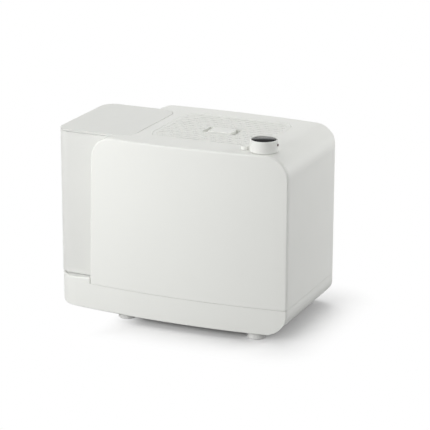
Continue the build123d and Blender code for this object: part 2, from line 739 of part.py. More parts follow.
def valve_seal():
    return tube(VALVE_X, 0, DISC_Z - VALVE_SEAL_T, DISC_Z, VALVE_DISC_R, VALVE_DISC_R - VALVE_SEAL_W)


def valve_spring():
    """Hidden return spring, as the tube that its coils fill."""
    z0 = DISC_Z + VALVE_DISC_T
    return tube(VALVE_X, 0, z0, CAGE_TOP - CAGE_TOP_T, VALVE_SPRING_R, VALVE_SPRING_R - VALVE_SPRING_WIRE)


# Housing
def housing_shell():
    shell_plan = plan(HOUSING_X0, RIGHT, FRONT_OF_SHELL, 0, rear_r=REAR_EDGE_R)
    low = HOUSING_Z - WALL
    outer = prism(shell_plan, low, TOP_Z + WALL) & through(side_outline(0, HOUSING_Z, CORNER_R))
    cavity_plan = plan(HOUSING_X0 + WALL, RIGHT - WALL, -WALL, WALL, rear_r=REAR_EDGE_R - WALL)
    cavity = prism(cavity_plan, low - WALL, TOP_Z) & through(side_outline(WALL, low, CORNER_R - WALL))
    bay_block = prism(tank_plan(BAY_CLEAR + WALL), low - WALL, TOP_Z)
    shell = outer - (cavity - bay_block)
    for x, y in DECK_BOSSES:
        shell += rod(x, y, DECK_TOP, UNDER_TOP, DECK_BOSS_R) & outer
    for x, y in BOARD_BOSSES:
        shell += rod(x, y, BOARD_TOP, UNDER_TOP, BOARD_BOSS_R) & outer
    shell += rod(DIAL_X, DIAL_Y, TOP_Z - DIAL_BOSS_H, TOP_Z, DIAL_BOSS_R) & outer
    well_ring = prism(well_plan(WELL_WALL), LEDGE_Z, TOP_Z - WALL / 2)
    shell += well_ring
    shell -= prism(well_plan(0), LEDGE_TOP, TOP_Z)
    shell -= prism(well_plan(-WELL_LEDGE_W), LEDGE_Z, LEDGE_TOP)
    shell -= flare(well_plan(0), well_plan(WELL_RIM), TOP_Z - WELL_RIM, TOP_Z)
    shell -= prism(tank_plan(BAY_CLEAR), low, TOP_Z)
    shell -= flare(tank_plan(BAY_CLEAR), tank_plan(BAY_CLEAR + BAY_RIM), TOP_Z - BAY_RIM, TOP_Z)
    shell -= rod(DIAL_X, DIAL_Y, TOP_Z - DIAL_BOSS_H, TOP_Z, BUSH_R + BUSH_FIT)
    shell -= rod(BUTTON_X, BUTTON_Y, LEDGE_Z, TOP_Z, BUTTON_R + BUTTON_CLEAR)
    shell -= through(intake_outline(0)) & box(LEFT, RIGHT, 0, DEPTH, HOUSING_Z, TOP_Z)
    shell -= inlet_block(INLET_FIT, 2 * WALL)
    for x, y in DECK_BOSSES:
        shell -= screw_hole(x, y, DECK_TOP, DECK_TOP + SCREW_L)
    for x, y in BOARD_BOSSES:
        shell -= screw_hole(x, y, BOARD_TOP, BOARD_TOP + SCREW_L)
    return shell


def intake_outline(grow):
    """Outline of the rear intake opening, in X and Z."""
    face = RectangleRounded(INTAKE_W + 2 * grow, INTAKE_H + 2 * grow, INTAKE_R + grow)
    return Pos(FAN_X, (INTAKE_Z0 + INTAKE_Z1) / 2) * face


def front_panel():
    x0 = HOUSING_X0 - PANEL_T
    x1 = RIGHT + PANEL_T
    z0 = HOUSING_Z - PANEL_T
    z1 = TOP_Z + PANEL_T
    panel = prism(bow_strip(x0, x1, 0, PANEL_T, -1), z0, z1) & through(side_outline(0, HOUSING_Z, CORNER_R))
    front = panel.faces().sort_by(Axis.Y)[0]
    panel = fillet(front.edges().sort_by(Axis.Z)[1:], FRONT_EDGE_R)
    outer = WALL + LIP_CLEAR
    inner = outer + PANEL_TAB_T
    rim = prism(bow_strip(x0, x1, PANEL_T / 2, PANEL_T + PANEL_TAB_L, -1), z0, z1)
    rim &= through(side_outline(outer, HOUSING_Z, CORNER_R - outer))
    rim -= through(side_outline(inner, z0, CORNER_R - inner))
    low = SEAM_Z + LIP_ABOVE + LIP_CLEAR + PANEL_TAB_W
    high = TOP_Z - CORNER_R - PANEL_TAB_W
    places = [(x, z) for x in (HOUSING_X0, RIGHT) for z in (low, (low + high) / 2, high)]
    for x, z in places:
        half = PANEL_TAB_W / 2
        panel += rim & box(x - CORNER_R, x + CORNER_R, -DEPTH, 0, z - half, z + half)
    for x in (HOUSING_X0 + CORNER_R + PANEL_TAB_W, FAN_X, BUTTON_X - PANEL_TAB_W):
        half = PANEL_TAB_W / 2
        panel += rim & box(x - half, x + half, -DEPTH, 0, TOP_Z - CORNER_R, TOP_Z)
    return panel


def rear_grille():
    """Slotted intake cover, bowed like the back, with a flange inside the wall."""
    x0 = FAN_X - INTAKE_W / 2 - 2 * REAR_FLANGE_W
    x1 = FAN_X + INTAKE_W / 2 + 2 * REAR_FLANGE_W
    low = INTAKE_Z0 - 2 * REAR_FLANGE_W
    high = INTAKE_Z1 + 2 * REAR_FLANGE_W
    flange_in = WALL + REAR_GRILLE_CLEAR
    face = prism(bow_strip(x0, x1, 0, flange_in + REAR_FLANGE_T, 1), low, high)
    face &= through(intake_outline(-REAR_GRILLE_CLEAR))
    flange = prism(bow_strip(x0, x1, flange_in, flange_in + REAR_FLANGE_T, 1), low, high)
    flange &= through(intake_outline(REAR_FLANGE_W))
    hollow = prism(bow_strip(x0, x1, REAR_GRILLE_T, flange_in + REAR_FLANGE_T, 1), low, high)
    hollow &= through(intake_outline(-REAR_BORDER / 2))
    grille = face + flange - hollow
    count = int((INTAKE_H - 2 * REAR_BORDER) / REAR_SLOT_PITCH) + 1
    middle = (INTAKE_Z0 + INTAKE_Z1) / 2
    for i in range(count):
        z = middle + (i - (count - 1) / 2) * REAR_SLOT_PITCH
        for side in (-1, 1):
            edge = INTAKE_W / 2 - REAR_BORDER
            ends = sorted((FAN_X + side * REAR_BORDER / 2, FAN_X + side * edge))
            half = REAR_SLOT_W / 2
            grille -= box(ends[0], ends[1], 0, DEPTH, z - half, z + half)
    return grille


def air_filter():
    inset = WALL + REAR_GRILLE_CLEAR + REAR_FLANGE_T + AIR_FILTER_GAP
    strip = bow_strip(FAN_X - INTAKE_W / 2, FAN_X + INTAKE_W / 2, inset, inset + AIR_FILTER_T, 1)
    return prism(strip, INTAKE_Z0, INTAKE_Z1) & through(intake_outline(REAR_GRILLE_CLEAR))


def fan_deck():
    clear = WALL + EDGE_CLEAR
    face = plan(
        BAY_X + WALL + EDGE_CLEAR, RIGHT - clear, FRONT_OF_SHELL + PANEL_TAB_L + EDGE_CLEAR, clear,
        rear_r=REAR_EDGE_R,
    )
    deck = prism(face, DECK_Z, DECK_TOP) - rod(FAN_X, FAN_Y, DECK_Z, DECK_TOP, SHROUD_R)
    for x, y in STANDOFFS:
        deck += rod(x, y, DECK_TOP - DECK_T / 2, DECK_TOP + STANDOFF_H, STANDOFF_R)
        deck -= screw_hole(x, y, DECK_Z, DECK_TOP + STANDOFF_H)
    for x, y in DECK_BOSSES:
        deck -= screw_hole(x, y, DECK_Z, DECK_TOP)
    for x, y in SHROUD_SCREWS:
        deck -= screw_hole(x, y, DECK_Z, DECK_TOP)
    return deck - rod(FLOAT_X, FLOAT_Y, DECK_Z, DECK_TOP, PROBE_R + SCREW_HOLE_CLEAR)


def fan_shroud():
    z1 = DECK_TOP + SHROUD_H
    ring = tube(FAN_X, FAN_Y, DECK_TOP, z1, SHROUD_R + SHROUD_WALL, SHROUD_R)
    outer_r = SHROUD_R + SHROUD_WALL + SHROUD_FLANGE_W
    ring += tube(FAN_X, FAN_Y, DECK_TOP, DECK_TOP + SHROUD_FLANGE_T, outer_r, SHROUD_R)
    reach = SHROUD_R + SHROUD_WALL / 2
    half = STRUT_W / 2
    cross = box(FAN_X - reach, FAN_X + reach, FAN_Y - half, FAN_Y + half, z1 - STRUT_T, z1)
    cross += box(FAN_X - half, FAN_X + half, FAN_Y - reach, FAN_Y + reach, z1 - STRUT_T, z1)
    cross += rod(FAN_X, FAN_Y, z1 - STRUT_T, z1, HUB_PLATE_R)
    shroud = ring + cross
    for x, y in MOTOR_SCREWS:
        shroud -= screw_hole(x, y, z1 - STRUT_T, z1)
    for x, y in SHROUD_SCREWS:
        shroud -= screw_hole(x, y, DECK_TOP, DECK_TOP + SHROUD_FLANGE_T)
    return shroud


MOTOR_TOP = DECK_TOP + SHROUD_H - STRUT_T
MOTOR_Z = MOTOR_TOP - MOTOR_H
IMPELLER_TOP = MOTOR_Z - IMPELLER_GAP
IMPELLER_Z = IMPELLER_TOP - IMPELLER_H
SHAFT_TOP = MOTOR_TOP - SCREW_L


def fan_motor():
    can = rod(FAN_X, FAN_Y, MOTOR_Z, MOTOR_TOP, MOTOR_R)
    can -= rod(FAN_X, FAN_Y, MOTOR_Z, SHAFT_TOP + SHAFT_END_GAP / 2, FAN_SHAFT_R + SHAFT_CLEAR)
    for x, y in MOTOR_SCREWS:
        can -= screw_hole(x, y, MOTOR_TOP - SCREW_L, MOTOR_TOP)
    return can


def fan_shaft():
    return rod(FAN_X, FAN_Y, IMPELLER_Z - SHAFT_END_GAP, SHAFT_TOP, FAN_SHAFT_R)


def fan_impeller():
    tip_r = SHROUD_R - IMPELLER_TIP_GAP
    middle = (IMPELLER_Z + IMPELLER_TOP) / 2
    length = tip_r - IMPELLER_HUB_R / 2
    place = Pos(IMPELLER_HUB_R / 2 + length / 2, 0, 0) * Rot(BLADE_PITCH, 0, 0)
    blade = place * Box(length, BLADE_CHORD, BLADE_T)
    wheel = Cylinder(IMPELLER_HUB_R, IMPELLER_H)
    for i in range(BLADE_COUNT):
        wheel += Rot(0, 0, i * 360 / BLADE_COUNT) * blade
    wheel &= Cylinder(tip_r, IMPELLER_H)
    wheel -= Cylinder(FAN_SHAFT_R, IMPELLER_H)
    return Pos(FAN_X, FAN_Y, middle) * wheel


# Dial, display and button
def dial_bush():
    z0 = TOP_Z - DIAL_BOSS_H
    return tube(DIAL_X, DIAL_Y, z0, TOP_Z + BUSH_PROUD, BUSH_R, DIAL_NECK_R + BUSH_CLEAR)


def dial_ring():
    skirt = tube(DIAL_X, DIAL_Y, DIAL_Z, DIAL_TOP, DIAL_R, DIAL_R - DIAL_WALL)
    skirt = fillet(skirt.edges().group_by(Axis.Z)[-1], DIAL_EDGE_R)
    web = rod(DIAL_X, DIAL_Y, DIAL_Z, DIAL_Z + DIAL_WEB_T, DIAL_R)
    neck = rod(DIAL_X, DIAL_Y, WHEEL_Z, DIAL_Z, DIAL_NECK_R)
    bore = rod(DIAL_X, DIAL_Y, WHEEL_Z, DIAL_Z + DIAL_WEB_T, POST_R + DIAL_CLEAR)
    return skirt + web + neck - bore - dial_mark()


def dial_mark():
    """Small dark red pip that stands out of the side of the dial."""
    pip = Cylinder(DIAL_MARK_R, DIAL_MARK_DEPTH)
    out = Pos(DIAL_R + DIAL_MARK_PROUD - DIAL_MARK_DEPTH / 2, 0, 0) * Rot(0, 90, 0) * pip
    return Pos(DIAL_X, DIAL_Y, DIAL_TOP - DIAL_MARK_DROP) * Rot(0, 0, DIAL_MARK_ANGLE) * out


def encoder_wheel():
    wheel = tube(DIAL_X, DIAL_Y, WHEEL_Z, WHEEL_Z + WHEEL_T, WHEEL_R, DIAL_NECK_R)
    middle = Pos(DIAL_X, DIAL_Y, WHEEL_Z + WHEEL_T / 2)
    for place in PolarLocations(WHEEL_R - WHEEL_SLOT_L / 2, WHEEL_SLOTS):
        wheel -= middle * place * Box(WHEEL_SLOT_L, WHEEL_SLOT_W, WHEEL_T)
    return wheel


LENS_TOP = DIAL_TOP - LENS_SINK
LENS_R = DIAL_R - DIAL_WALL - DIAL_CLEAR
LENS_Z = LENS_TOP - LENS_T
MODULE_Z = LENS_Z - MODULE_T


def display_post():
    stem = rod(DIAL_X, DIAL_Y, BOARD_TOP, LENS_Z, POST_R)
    seat = rod(DIAL_X, DIAL_Y, LENS_Z - LENS_SEAT_T, LENS_Z, LENS_R)
    pocket = rod(DIAL_X, DIAL_Y, MODULE_Z, LENS_Z, POST_R - POST_WALL / 2 + MODULE_FIT)
    return stem + seat - rod(DIAL_X, DIAL_Y, BOARD_TOP, LENS_Z, POST_R - POST_WALL) - pocket


def display_module():
    return rod(DIAL_X, DIAL_Y, MODULE_Z, LENS_Z, POST_R - POST_WALL / 2)


def display_lens():
    """Round window with a slightly domed face."""
    dome_r = (LENS_R**2 + LENS_RISE**2) / (2 * LENS_RISE)
    dome = Pos(DIAL_X, DIAL_Y, LENS_TOP - dome_r) * Sphere(dome_r)
    return rod(DIAL_X, DIAL_Y, LENS_Z, LENS_TOP, LENS_R) & dome


def control_board():
    board = box(BOARD_X0, BOARD_X1, BOARD_Y0, BOARD_Y1, BOARD_Z, BOARD_TOP)
    for x, y in BOARD_BOSSES:
        board -= screw_hole(x, y, BOARD_Z, BOARD_TOP)
    return board


def encoder_sensor():
    """Forked light gate on the board whose slot takes the edge of the encoder wheel."""
    edge = DIAL_X + WHEEL_R
    half = SENSOR_W / 2
    x0 = edge - SENSOR_OVERLAP
    slot_z = WHEEL_Z - SENSOR_GAP
    slot_top = WHEEL_Z + WHEEL_T + SENSOR_GAP
    body = box(x0, x0 + SENSOR_L, DIAL_Y - half, DIAL_Y + half, BOARD_TOP, slot_top + SENSOR_TOP)
    return body - box(x0, edge + SENSOR_GAP, DIAL_Y - half, DIAL_Y + half, slot_z, slot_top)


SWITCH_TOP = BOARD_TOP + SWITCH_H


def power_switch():
    half = SWITCH_W / 2
    return box(BUTTON_X - half, BUTTON_X + half, BUTTON_Y - half, BUTTON_Y + half, BOARD_TOP, SWITCH_TOP)


def power_button():
    """Round button with a dished top, held under the shell by a skirt."""
    skirt_top = UNDER_TOP - BUTTON_SKIRT_GAP
    top = TOP_Z + BUTTON_PROUD
    cap = rod(BUTTON_X, BUTTON_Y, skirt_top, top, BUTTON_R)
    cap = fillet(cap.edges().group_by(Axis.Z)[-1], BUTTON_EDGE_R)
    dish_r = BUTTON_R - BUTTON_DISH_RIM
    ball_r = (dish_r**2 + BUTTON_DISH**2) / (2 * BUTTON_DISH)
    cap -= Pos(BUTTON_X, BUTTON_Y, top - BUTTON_DISH + ball_r) * Sphere(ball_r)
    skirt = rod(BUTTON_X, BUTTON_Y, skirt_top - BUTTON_SKIRT_T, skirt_top, BUTTON_SKIRT_R)
    stem_z = SWITCH_TOP + BUTTON_TRAVEL + SWITCH_GAP
    return cap + skirt + rod(BUTTON_X, BUTTON_Y, stem_z, skirt_top, BUTTON_STEM_R)


# Outlet grille and lock
LOCK_X = FAN_X + LOCK_ASIDE
LOCK_Y = FAN_Y - LOCK_FORWARD
LOCK_X0 = LOCK_X - LOCK_W / 2
LOCK_X1 = LOCK_X + LOCK_W / 2
RECESS_FLOOR = GRILLE_TOP - RECESS_DEPTH


def outlet_grille():
    plate = prism(well_plan(-GRILLE_CLEAR), GRILLE_Z, GRILLE_TOP)
    border = well_plan(-GRILLE_BORDER)
    skirt_plan = well_plan(-WELL_LEDGE_W - GRILLE_CLEAR)
    rim = prism(skirt_plan - border, GRILLE_Z - GRILLE_RIB_H, GRILLE_Z)
    slots = slot_field() & prism(border, GRILLE_Z, GRILLE_TOP)
    ribs = rib_field() & prism(border, GRILLE_Z - GRILLE_RIB_H, GRILLE_Z)
    return plate - slots + rim + ribs + recess_pan() - recess_hollow() - lock_slot()


def slot_field():
    """Straight air slots along X, spread over the depth of the well."""
    count = int((WELL_Y1 - WELL_Y0 - 2 * GRILLE_BORDER) / SLAT_PITCH)
    half = SLOT_W / 2
    rows = [FAN_Y + (i - (count - 1) / 2) * SLAT_PITCH for i in range(count)]
    return Part() + [box(WELL_X0, WELL_X1, y - half, y + half, GRILLE_Z, GRILLE_TOP) for y in rows]


def rib_field():
    """Cross ribs under the slats."""
    quarter = (WELL_X1 - WELL_X0) / 4
    half = GRILLE_RIB_W / 2
    places = [WELL_X0 + i * quarter for i in (1, 2, 3)]
    z0 = GRILLE_Z - GRILLE_RIB_H
    return Part() + [box(x - half, x + half, WELL_Y0, WELL_Y1, z0, GRILLE_Z) for x in places]


def recess_box(grow, z0, z1):
    half = LOCK_D / 2 + LOCK_CLEAR + grow
    x0 = LOCK_X0 - RECESS_LEFT - grow
    x1 = LOCK_X1 + LOCK_TRAVEL + RECESS_SPARE + grow
    return box(x0, x1, LOCK_Y - half - RECESS_FRONT, LOCK_Y + half, z0, z1)


def recess_pan():
    return recess_box(RECESS_WALL, RECESS_FLOOR - RECESS_WALL, GRILLE_TOP)


def recess_hollow():
    return recess_box(0, RECESS_FLOOR, GRILLE_TOP)


def lock_slot():
    half = LOCK_NECK_D / 2 + LOCK_CLEAR
    x0 = LOCK_X - LOCK_NECK_W / 2 - LOCK_CLEAR
    x1 = LOCK_X + LOCK_NECK_W / 2 + LOCK_TRAVEL + LOCK_CLEAR
    return box(x0, x1, LOCK_Y - half, LOCK_Y + half, RECESS_FLOOR - RECESS_WALL, RECESS_FLOOR)


def grille_lock():
    """Sliding lock tab held in the recess by a foot under its floor."""
    half = LOCK_D / 2
    tab_z = RECESS_FLOOR + LOCK_CLEAR
    tab = box(LOCK_X0, LOCK_X1, LOCK_Y - half, LOCK_Y + half, tab_z, GRILLE_TOP + LOCK_PROUD)
    tab = fillet(tab.edges().group_by(Axis.Z)[-1], LOCK_EDGE_R)
    neck_half = LOCK_NECK_D / 2
    x0 = LOCK_X - LOCK_NECK_W / 2
    x1 = LOCK_X + LOCK_NECK_W / 2
    foot_top = RECESS_FLOOR - RECESS_WALL - LOCK_CLEAR
    neck = box(x0, x1, LOCK_Y - neck_half, LOCK_Y + neck_half, foot_top, tab_z)
    foot = box(x0, x1, LOCK_Y - half, LOCK_Y + half, foot_top - LOCK_FOOT_T, foot_top)
    return tab + neck + foot


# Power and sensing
def power_board():
    z0 = DECK_TOP + STANDOFF_H
    z1 = z0 + BOARD_T
    edge = 2 * STANDOFF_INSET
    board = box(POWER_X0, POWER_X1, POWER_Y0, POWER_Y1, z0, z1)
    board += box(POWER_X0 + edge, POWER_X1 - edge, POWER_Y0 + edge, POWER_BOARD_Y, z1, z1 + POWER_PART_H)
    board += rod((POWER_X0 + POWER_X1) / 2, POWER_Y1 - 2 * edge, z1, z1 + POWER_PART_H, edge / 2)
    for x, y in STANDOFFS:
        board -= screw_hole(x, y, z0, z0 + BOARD_T)
    return board


INLET_X = RIGHT - INLET_FROM_RIGHT
INLET_Z = DECK_TOP + INLET_ABOVE_DECK
INLET_Y = bow_y(INLET_X + INLET_W / 2)


def inlet_block(grow, out=0.0):
    """Body of the power inlet, from its flat face inwards; a cutter reaches out past the bowed back."""
    face = RectangleRounded(INLET_W + 2 * grow, INLET_H + 2 * grow, INLET_R + grow)
    body = extrude(Plane.XZ * (Pos(INLET_X, INLET_Z) * face), INLET_L + out)
    return Pos(0, INLET_Y + out, 0) * body


def power_inlet():
    grow = INLET_FLANGE
    face = RectangleRounded(INLET_W + 2 * grow, INLET_H + 2 * grow, INLET_R)
    flange_y = bow_y(INLET_X + INLET_W / 2 + grow, WALL) - INLET_FIT
    flange = Pos(0, flange_y, 0) * extrude(Plane.XZ * (Pos(INLET_X, INLET_Z) * face), INLET_FLANGE_T)
    pocket_face = RectangleRounded(INLET_POCKET_W, INLET_POCKET_H, INLET_POCKET_H / 2 - INLET_FIT)
    pocket = Pos(0, INLET_Y, 0) * extrude(Plane.XZ * (Pos(INLET_X, INLET_Z) * pocket_face), INLET_POCKET_L)
    inlet = inlet_block(0) + flange - pocket
    for side in (-1, 1):
        pin_face = Pos(INLET_X + side * INLET_PIN_SPAN / 2, INLET_Z) * Circle(INLET_PIN_R)
        inlet += Pos(0, INLET_Y - INLET_FLANGE_T, 0) * extrude(Plane.XZ * pin_face, INLET_L - INLET_FLANGE_T)
    return inlet


def humidity_sensor():
    """Sensor board on the inside of the right wall, over the deck."""
    x1 = RIGHT - WALL - SENSOR_BOARD_GAP
    y0 = BOARD_Y1 + 2 * DECK_BOSS_INSET
    z0 = DECK_TOP + STANDOFF_H
    return box(x1 - SENSOR_BOARD_T, x1, y0, y0 + SENSOR_BOARD_W, z0, z0 + SENSOR_BOARD_H)


def level_probe():
    """Sealed reed switch in a tube that hangs over the float from the deck."""
    z0 = GUIDE_TOP + GUIDE_CAP_T + FLOAT_TRAVEL
    head = rod(FLOAT_X, FLOAT_Y, DECK_TOP, DECK_TOP + PROBE_HEAD_H, PROBE_HEAD_R)
    return head + rod(FLOAT_X, FLOAT_Y, z0, DECK_TOP, PROBE_R)


# Screws, one group for each joint that they close
def deck_screws():
    return [screw(x, y, DECK_Z, 1) for x, y in DECK_BOSSES]


def shroud_screws():
    return [screw(x, y, DECK_TOP + SHROUD_FLANGE_T, -1) for x, y in SHROUD_SCREWS]


def motor_screws():
    return [screw(x, y, MOTOR_TOP + STRUT_T, -1) for x, y in MOTOR_SCREWS]


def board_screws():
    return [screw(x, y, BOARD_Z, 1) for x, y in BOARD_BOSSES]


def power_board_screws():
    return [screw(x, y, DECK_TOP + STANDOFF_H + BOARD_T, -1) for x, y in STANDOFFS]


NODES = [
    base_tray, feet, tank_seat, filter_frame, wick_filter, float_guide,
    float_body, float_magnet,
    tank_shell, tank_cap, cap_seal, tank_lid, lid_gasket, valve_plunger, valve_seal, valve_spring,
    housing_shell, front_panel, rear_grille, air_filter, fan_deck, fan_shroud, fan_motor,
    fan_shaft, fan_impeller,
    dial_bush, dial_ring, dial_mark, encoder_wheel,
    display_post, display_module, display_lens, control_board, encoder_sensor, power_switch, power_button,
    outlet_grille, grille_lock,
    power_board, power_inlet, humidity_sensor, level_probe,
    deck_screws, shroud_screws, motor_screws, board_screws, power_board_screws,
]

os.makedirs("parts", exist_ok=True)
for node in NODES:
    shape = node()
    if isinstance(shape, list):
        shape = Compound(children=shape)
    export_step(shape, f"parts/{node.__name__}.step")
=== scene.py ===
"""Looks of the side-tank cool mist humidifier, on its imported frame. Metres, +Z up, front towards -Y."""
import json
from math import asin, atan, cos, pi, radians, sin, sqrt

import bpy
from mathutils import Matrix, Vector


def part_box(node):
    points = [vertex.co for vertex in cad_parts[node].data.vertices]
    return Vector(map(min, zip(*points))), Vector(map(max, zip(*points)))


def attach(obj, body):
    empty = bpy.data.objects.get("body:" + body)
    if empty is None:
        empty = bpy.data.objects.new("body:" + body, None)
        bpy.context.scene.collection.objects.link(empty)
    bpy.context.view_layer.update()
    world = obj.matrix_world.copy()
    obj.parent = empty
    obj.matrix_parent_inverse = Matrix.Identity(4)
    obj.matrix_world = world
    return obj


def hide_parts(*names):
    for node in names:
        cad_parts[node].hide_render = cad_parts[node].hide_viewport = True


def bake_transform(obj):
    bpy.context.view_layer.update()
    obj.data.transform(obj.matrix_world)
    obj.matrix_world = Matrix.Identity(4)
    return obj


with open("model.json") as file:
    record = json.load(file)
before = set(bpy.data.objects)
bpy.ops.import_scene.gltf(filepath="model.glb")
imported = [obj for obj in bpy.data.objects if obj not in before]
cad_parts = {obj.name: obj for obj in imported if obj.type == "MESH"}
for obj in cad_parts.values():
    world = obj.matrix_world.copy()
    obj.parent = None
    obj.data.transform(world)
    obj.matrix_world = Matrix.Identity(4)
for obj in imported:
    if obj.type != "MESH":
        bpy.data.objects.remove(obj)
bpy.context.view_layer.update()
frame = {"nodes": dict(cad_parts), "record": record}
scene = bpy.context.scene


# Shader helpers
NOISE_LOW = 0.3  # most of a noise texture's values lie between these two
NOISE_HIGH = 0.7


def start(name):
    """New node material; returns it with its tree and its shader."""
    mat = bpy.data.materials.new(name)
    mat.use_nodes = True
    return mat, mat.node_tree, mat.node_tree.nodes["Principled BSDF"]


def put(tree, kind, props=None, **inputs):
    """Add a node; inputs are constants or other nodes' sockets, by name or as i0, i1 and so on by index."""
    made = tree.nodes.new(kind)
    for key, value in (props or {}).items():
        setattr(made, key, value)
    for key, value in inputs.items():
        by_index = key[0] == "i" and key[1:].isdigit()
        socket = made.inputs[int(key[1:])] if by_index else made.inputs[key]
        if isinstance(value, bpy.types.NodeSocket):
            tree.links.new(value, socket)
        else:
            socket.default_value = value
    return made


def place(tree, stretch=(1, 1, 1)):
    """The piece's own coordinates, in metres, stretched."""
    where = put(tree, "ShaderNodeTexCoord").outputs["Object"]
    if stretch == (1, 1, 1):
        return where
    return put(tree, "ShaderNodeMapping", Vector=where, Scale=stretch).outputs["Vector"]


def noise(tree, where, scale, detail=2.0, rough=0.5):
    made = put(tree, "ShaderNodeTexNoise", Vector=where, Scale=scale, Detail=detail, Roughness=rough)
    return made.outputs["Fac"]


def cells(tree, where, scale, feature="F1"):
    made = put(tree, "ShaderNodeTexVoronoi", {"feature": feature}, Vector=where, Scale=scale)
    return made.outputs["Distance"]


def spread(tree, value, lo, hi, low=0.0, high=1.0):
    """Map low..high of a value to lo..hi."""
    made = put(tree, "ShaderNodeMapRange", i0=value, i1=low, i2=high, i3=lo, i4=hi)
    return made.outputs["Result"]


def uneven(tree, texture, lo, hi):
    """Map a noise texture's usual values to lo..hi."""
    return spread(tree, texture, lo, hi, NOISE_LOW, NOISE_HIGH)


def ease(tree, value, low, high):
    """Smooth step from 0 at low to 1 at high."""
    made = put(tree, "ShaderNodeMapRange", {"interpolation_type": "SMOOTHSTEP"}, i0=value, i1=low, i2=high)
    return made.outputs["Result"]


def maths(tree, operation, a, b=0.0):
    return put(tree, "ShaderNodeMath", {"operation": operation}, i0=a, i1=b).outputs[0]


def vector(tree, operation, a, b=(0, 0, 0)):
    return put(tree, "ShaderNodeVectorMath", {"operation": operation}, i0=a, i1=b).outputs["Vector"]


def part_of(tree, source, axis):
    """One coordinate of a vector."""
    return put(tree, "ShaderNodeSeparateXYZ", Vector=source).outputs[axis]


def blended(tree, share, a, b):
    """Colour between a and b, each a socket or RGBA."""
    return put(tree, "ShaderNodeMix", {"data_type": "RGBA"}, i0=share, i6=a, i7=b).outputs[2]


def shaded(colour, amount):
    return (*(c * amount for c in colour), 1.0)


def tint(tree, share, colour, low, high):
    """Colour that goes from low to high times the one given."""
    return blended(tree, share, shaded(colour, low), shaded(colour, high))


def bump(tree, height, depth, strength, below=None):
    """Surface relief, depth in metres, over any relief below it."""
    made = put(tree, "ShaderNodeBump", Strength=strength, Distance=depth, Height=height)
    if below is not None:
        tree.links.new(below, made.inputs["Normal"])
    return made.outputs["Normal"]


def cover(tree, bsdf, colour, rough, relief, **plain):
    """Link a surface's three textures to its shader, and set what is the same all over."""
    tree.links.new(colour, bsdf.inputs["Base Color"])
    tree.links.new(rough, bsdf.inputs["Roughness"])
    tree.links.new(relief, bsdf.inputs["Normal"])
    for key, value in plain.items():
        bsdf.inputs[key.replace("_", " ")].default_value = value


# Materials
def moulded(name, colour, rough, vary=0.03, sides=1.0):
    """Satin moulded plastic: fine spark grain, faint sink marks, slight unevenness of colour and gloss.

    With sides under 1, faces that don't look up are painted that much darker: painted shade.
    """
    mat, tree, bsdf = start(name)
    where = place(tree)
    cloud = noise(tree, where, scale=9.0, detail=3.0)
    skin = tint(tree, cloud, colour, 1 - vary, 1 + vary)
    # painted shade: faces that don't look up get a darker copy of the colour
    if sides < 1.0:
        normal = put(tree, "ShaderNodeTexCoord").outputs["Normal"]
        upward = ease(tree, part_of(tree, normal, "Z"), 0.6, 0.98)
        skin = blended(tree, upward, tint(tree, cloud, colour, sides - vary, sides + vary), skin)
    wiped = noise(tree, place(tree, (1, 1, 0.35)), scale=46.0, detail=4.0, rough=0.6)
    sink = bump(tree, noise(tree, where, scale=16.0, detail=1.0), depth=0.0003, strength=0.25)
    grain = bump(tree, noise(tree, where, scale=2600.0), depth=0.00003, strength=0.5, below=sink)
    cover(tree, bsdf, skin, uneven(tree, wiped, rough - 0.07, rough + 0.07), grain)
    return mat


def frosted(name, colour):
    """Milky see-through plastic of the water tank."""
    mat, tree, bsdf = start(name)
    where = place(tree)
    skin = tint(tree, noise(tree, where, scale=12.0, detail=3.0), colour, 0.97, 1.02)
    gloss = uneven(tree, noise(tree, where, scale=70.0, detail=3.0), 0.46, 0.6)
    flow = bump(tree, noise(tree, place(tree, (1, 1, 0.3)), scale=22.0), depth=0.0004, strength=0.25)
    grain = bump(tree, noise(tree, where, scale=1800.0), depth=0.00004, strength=0.5, below=flow)
    cover(
        tree, bsdf, skin, gloss, grain, Transmission_Weight=0.18, Subsurface_Weight=0.3,
        Subsurface_Radius=(1.0, 1.0, 1.0), Subsurface_Scale=0.006, IOR=1.46,
    )
    return mat


def rubber(name, colour, rough):
    """Soft rubber with a dusty bloom."""
    mat, tree, bsdf = start(name)
    where = place(tree)
    dust = noise(tree, where, scale=120.0, detail=5.0, rough=0.65)
    skin = tint(tree, dust, colour, 0.9, 1.06)
    gloss = uneven(tree, dust, rough - 0.1, rough + 0.1)
    grain = bump(tree, noise(tree, where, scale=1500.0, detail=3.0), depth=0.00006, strength=0.6)
    cover(tree, bsdf, skin, gloss, grain, Specular_IOR_Level=0.35)
    return mat


def steel(name, colour, rough):
    """Turned metal with fine rings round its upright axis."""
    mat, tree, bsdf = start(name)
    rings = noise(tree, place(tree, (40, 40, 2600)), scale=1.0, detail=4.86)
    skin = tint(tree, noise(tree, place(tree), scale=160.0, detail=3.0), colour, 0.88, 1.08)
    gloss = uneven(tree, rings, rough - 0.1, rough + 0.12)
    cover(tree, bsdf, skin, gloss, bump(tree, rings, depth=0.00003, strength=0.5), Metallic=1.0)
    return mat


def painted(name, colour, rough):
    """Painted metal can with a slight orange-peel skin."""
    mat, tree, bsdf = start(name)
    where = place(tree)
    scuff = noise(tree, where, scale=60.0, detail=5.0, rough=0.7)
    skin = tint(tree, scuff, colour, 0.85, 1.25)
    gloss = uneven(tree, scuff, rough - 0.08, rough + 0.12)
    peel = bump(tree, noise(tree, where, scale=900.0), depth=0.00005, strength=0.4)
    cover(tree, bsdf, skin, gloss, peel, Metallic=0.4)
    return mat


